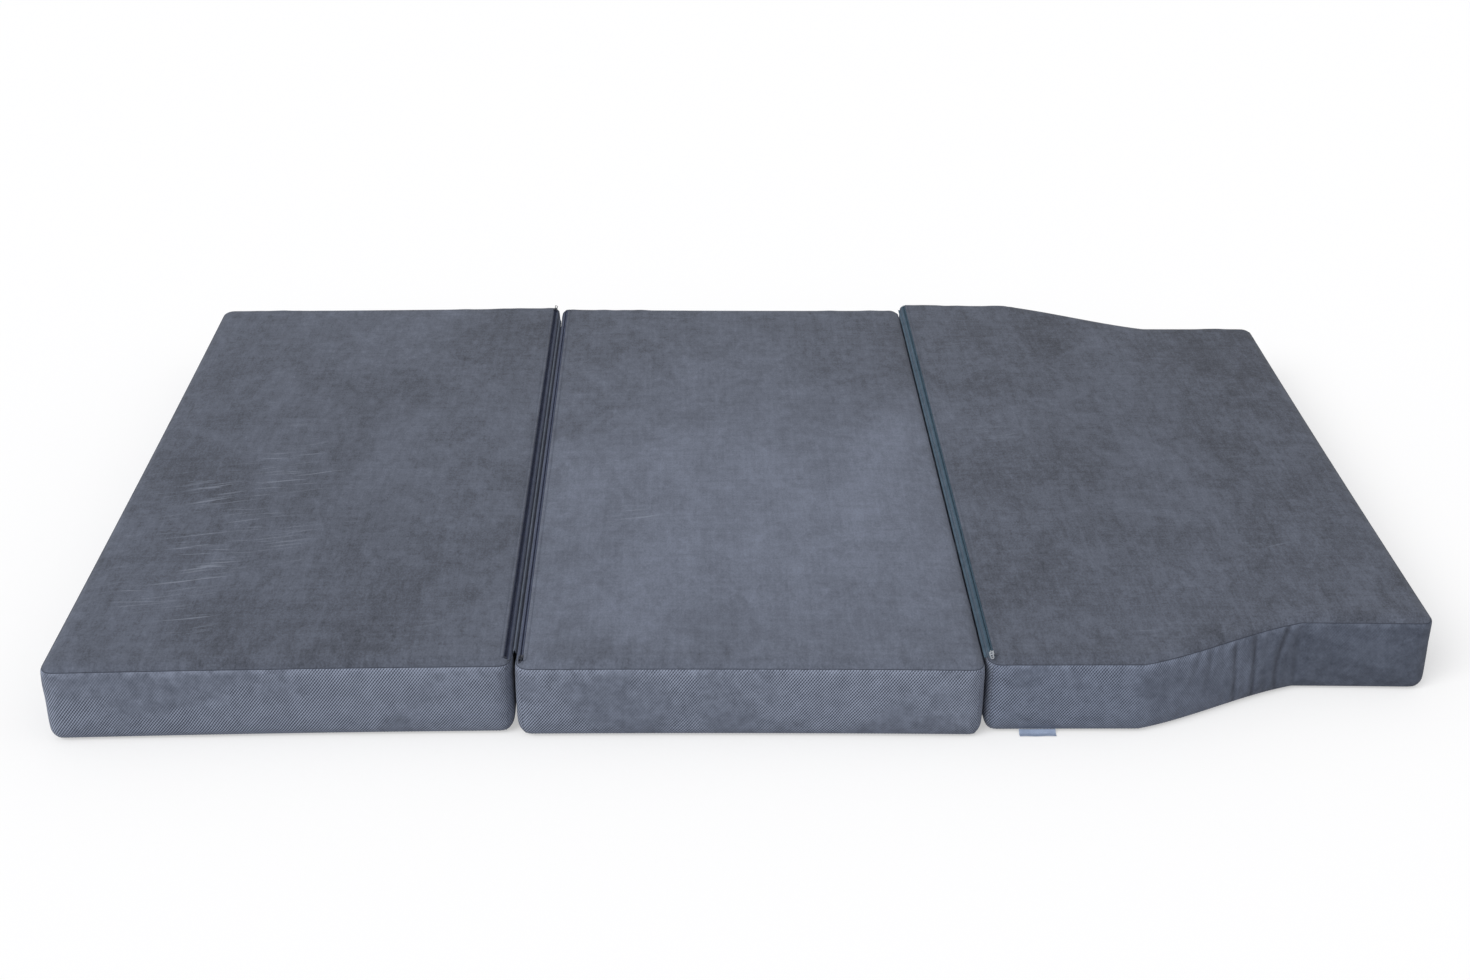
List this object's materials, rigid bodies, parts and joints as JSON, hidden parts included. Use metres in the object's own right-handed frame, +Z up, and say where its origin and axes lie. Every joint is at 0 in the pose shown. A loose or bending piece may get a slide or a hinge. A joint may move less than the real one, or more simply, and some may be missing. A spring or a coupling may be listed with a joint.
{
  "type": "folding mattress",
  "caption": "Folding foam mattress lying flat, with zipped soft covers, cloth hinges between its panels and one panel tapering to a narrower end.",
  "frame": {"origin": "middle of the middle panel's underside, on the floor", "axes": "+X along the mattress towards its narrower end, +Y across it to the back, +Z up"},
  "size_m": [1.9, 1.2873, 0.121],
  "materials": {
    "foam": "open-cell polyurethane foam",
    "suede_top": "matt blue-grey suede-like cloth",
    "woven_base": "matt blue-grey woven cloth",
    "woven_side": "blue-grey cloth with a fine diagonal weave",
    "navy_tape": "navy woven zip tape",
    "navy_teeth": "navy coil zip teeth",
    "teal_tape": "dark teal woven zip tape",
    "teal_teeth": "dark teal coil zip teeth",
    "dark_metal": "dark enamelled metal",
    "silver_metal": "bright nickel-plated metal",
    "hinge_cloth": "blue-grey woven cloth",
    "label_cloth": "plain silvery blue woven label, blank"
  },
  "bodies": {
    "left_panel": {"left_foam_core": "foam", "left_cover_top": "suede_top", "left_cover_base": "woven_base", "left_side_band": "woven_side", "left_right_wall": "woven_side", "left_zip_tape_inner": "navy_tape", "left_zip_tape_outer": "navy_tape", "left_zip_teeth_inner": "navy_teeth", "left_zip_teeth_outer": "navy_teeth", "left_zip_bottom_stop": "dark_metal", "left_zip_top_stop": "dark_metal", "hinge_strip_top": "hinge_cloth"},
    "middle_panel": {"middle_foam_core": "foam", "middle_cover_top": "suede_top", "middle_cover_base": "woven_base", "middle_front_band": "woven_side", "middle_back_band": "woven_side", "middle_left_wall": "woven_side", "middle_right_wall": "woven_side", "middle_zip_tape_inner": "navy_tape", "middle_zip_tape_outer": "navy_tape", "middle_zip_teeth_inner": "navy_teeth", "middle_zip_teeth_outer": "navy_teeth", "middle_zip_bottom_stop": "dark_metal", "middle_zip_top_stop": "dark_metal", "hinge_strip_bottom": "hinge_cloth"},
    "right_panel": {"right_foam_core": "foam", "right_cover_top": "suede_top", "right_cover_base": "woven_base", "right_side_band": "woven_side", "right_left_wall": "woven_side", "right_zip_tape_inner": "teal_tape", "right_zip_tape_outer": "teal_tape", "right_zip_teeth_inner": "teal_teeth", "right_zip_teeth_outer": "teal_teeth", "right_zip_bottom_stop": "silver_metal", "right_zip_top_stop": "silver_metal", "label_tag": "label_cloth"},
    "left_slider": {"left_zip_slider": "dark_metal"},
    "left_pull": {"left_zip_pull": "dark_metal"},
    "middle_slider": {"middle_zip_slider": "dark_metal"},
    "middle_pull": {"middle_zip_pull": "dark_metal"},
    "right_slider": {"right_zip_slider": "silver_metal"},
    "right_pull": {"right_zip_pull": "silver_metal"}
  },
  "joints": [
    {"name": "fold_left_middle", "type": "hinge", "parent": "left_panel", "child": "middle_panel", "pos_m": [-0.317, 0, 0.1215], "axis": [0, -1, 0], "range_deg": [0, 180], "deforming": ["hinge_strip_top"]},
    {"name": "fold_middle_right", "type": "hinge", "parent": "middle_panel", "child": "right_panel", "pos_m": [0.3165, 0, -0.0005], "axis": [0, 1, 0], "range_deg": [0, 180], "deforming": ["hinge_strip_bottom"]},
    {"name": "left_zip_slide", "type": "slide", "parent": "left_panel", "child": "left_slider", "axis": [0, -1, 0], "range_m": [0, 1.2178]},
    {"name": "left_pull_turn", "type": "hinge", "parent": "left_slider", "child": "left_pull", "pos_m": [-0.32637, 0.62228, 0.1176], "axis": [0.9219, 0, -0.3873], "range_deg": [0, 180]},
    {"name": "middle_zip_slide", "type": "slide", "parent": "middle_panel", "child": "middle_slider", "axis": [0, 1, 0], "range_m": [0, 1.2178]},
    {"name": "middle_pull_turn", "type": "hinge", "parent": "middle_slider", "child": "middle_pull", "pos_m": [-0.30763, -0.60355, 0.1176], "axis": [-0.9219, 0, -0.3873], "range_deg": [0, 180]},
    {"name": "right_zip_slide", "type": "slide", "parent": "right_panel", "child": "right_slider", "axis": [0, 1, 0], "range_m": [0, 1.2318]},
    {"name": "right_pull_turn", "type": "hinge", "parent": "right_slider", "child": "right_pull", "pos_m": [0.32441, -0.60156, 0.11755], "axis": [-0.9061, 0, -0.423], "range_deg": [0, 180]}
  ]
}
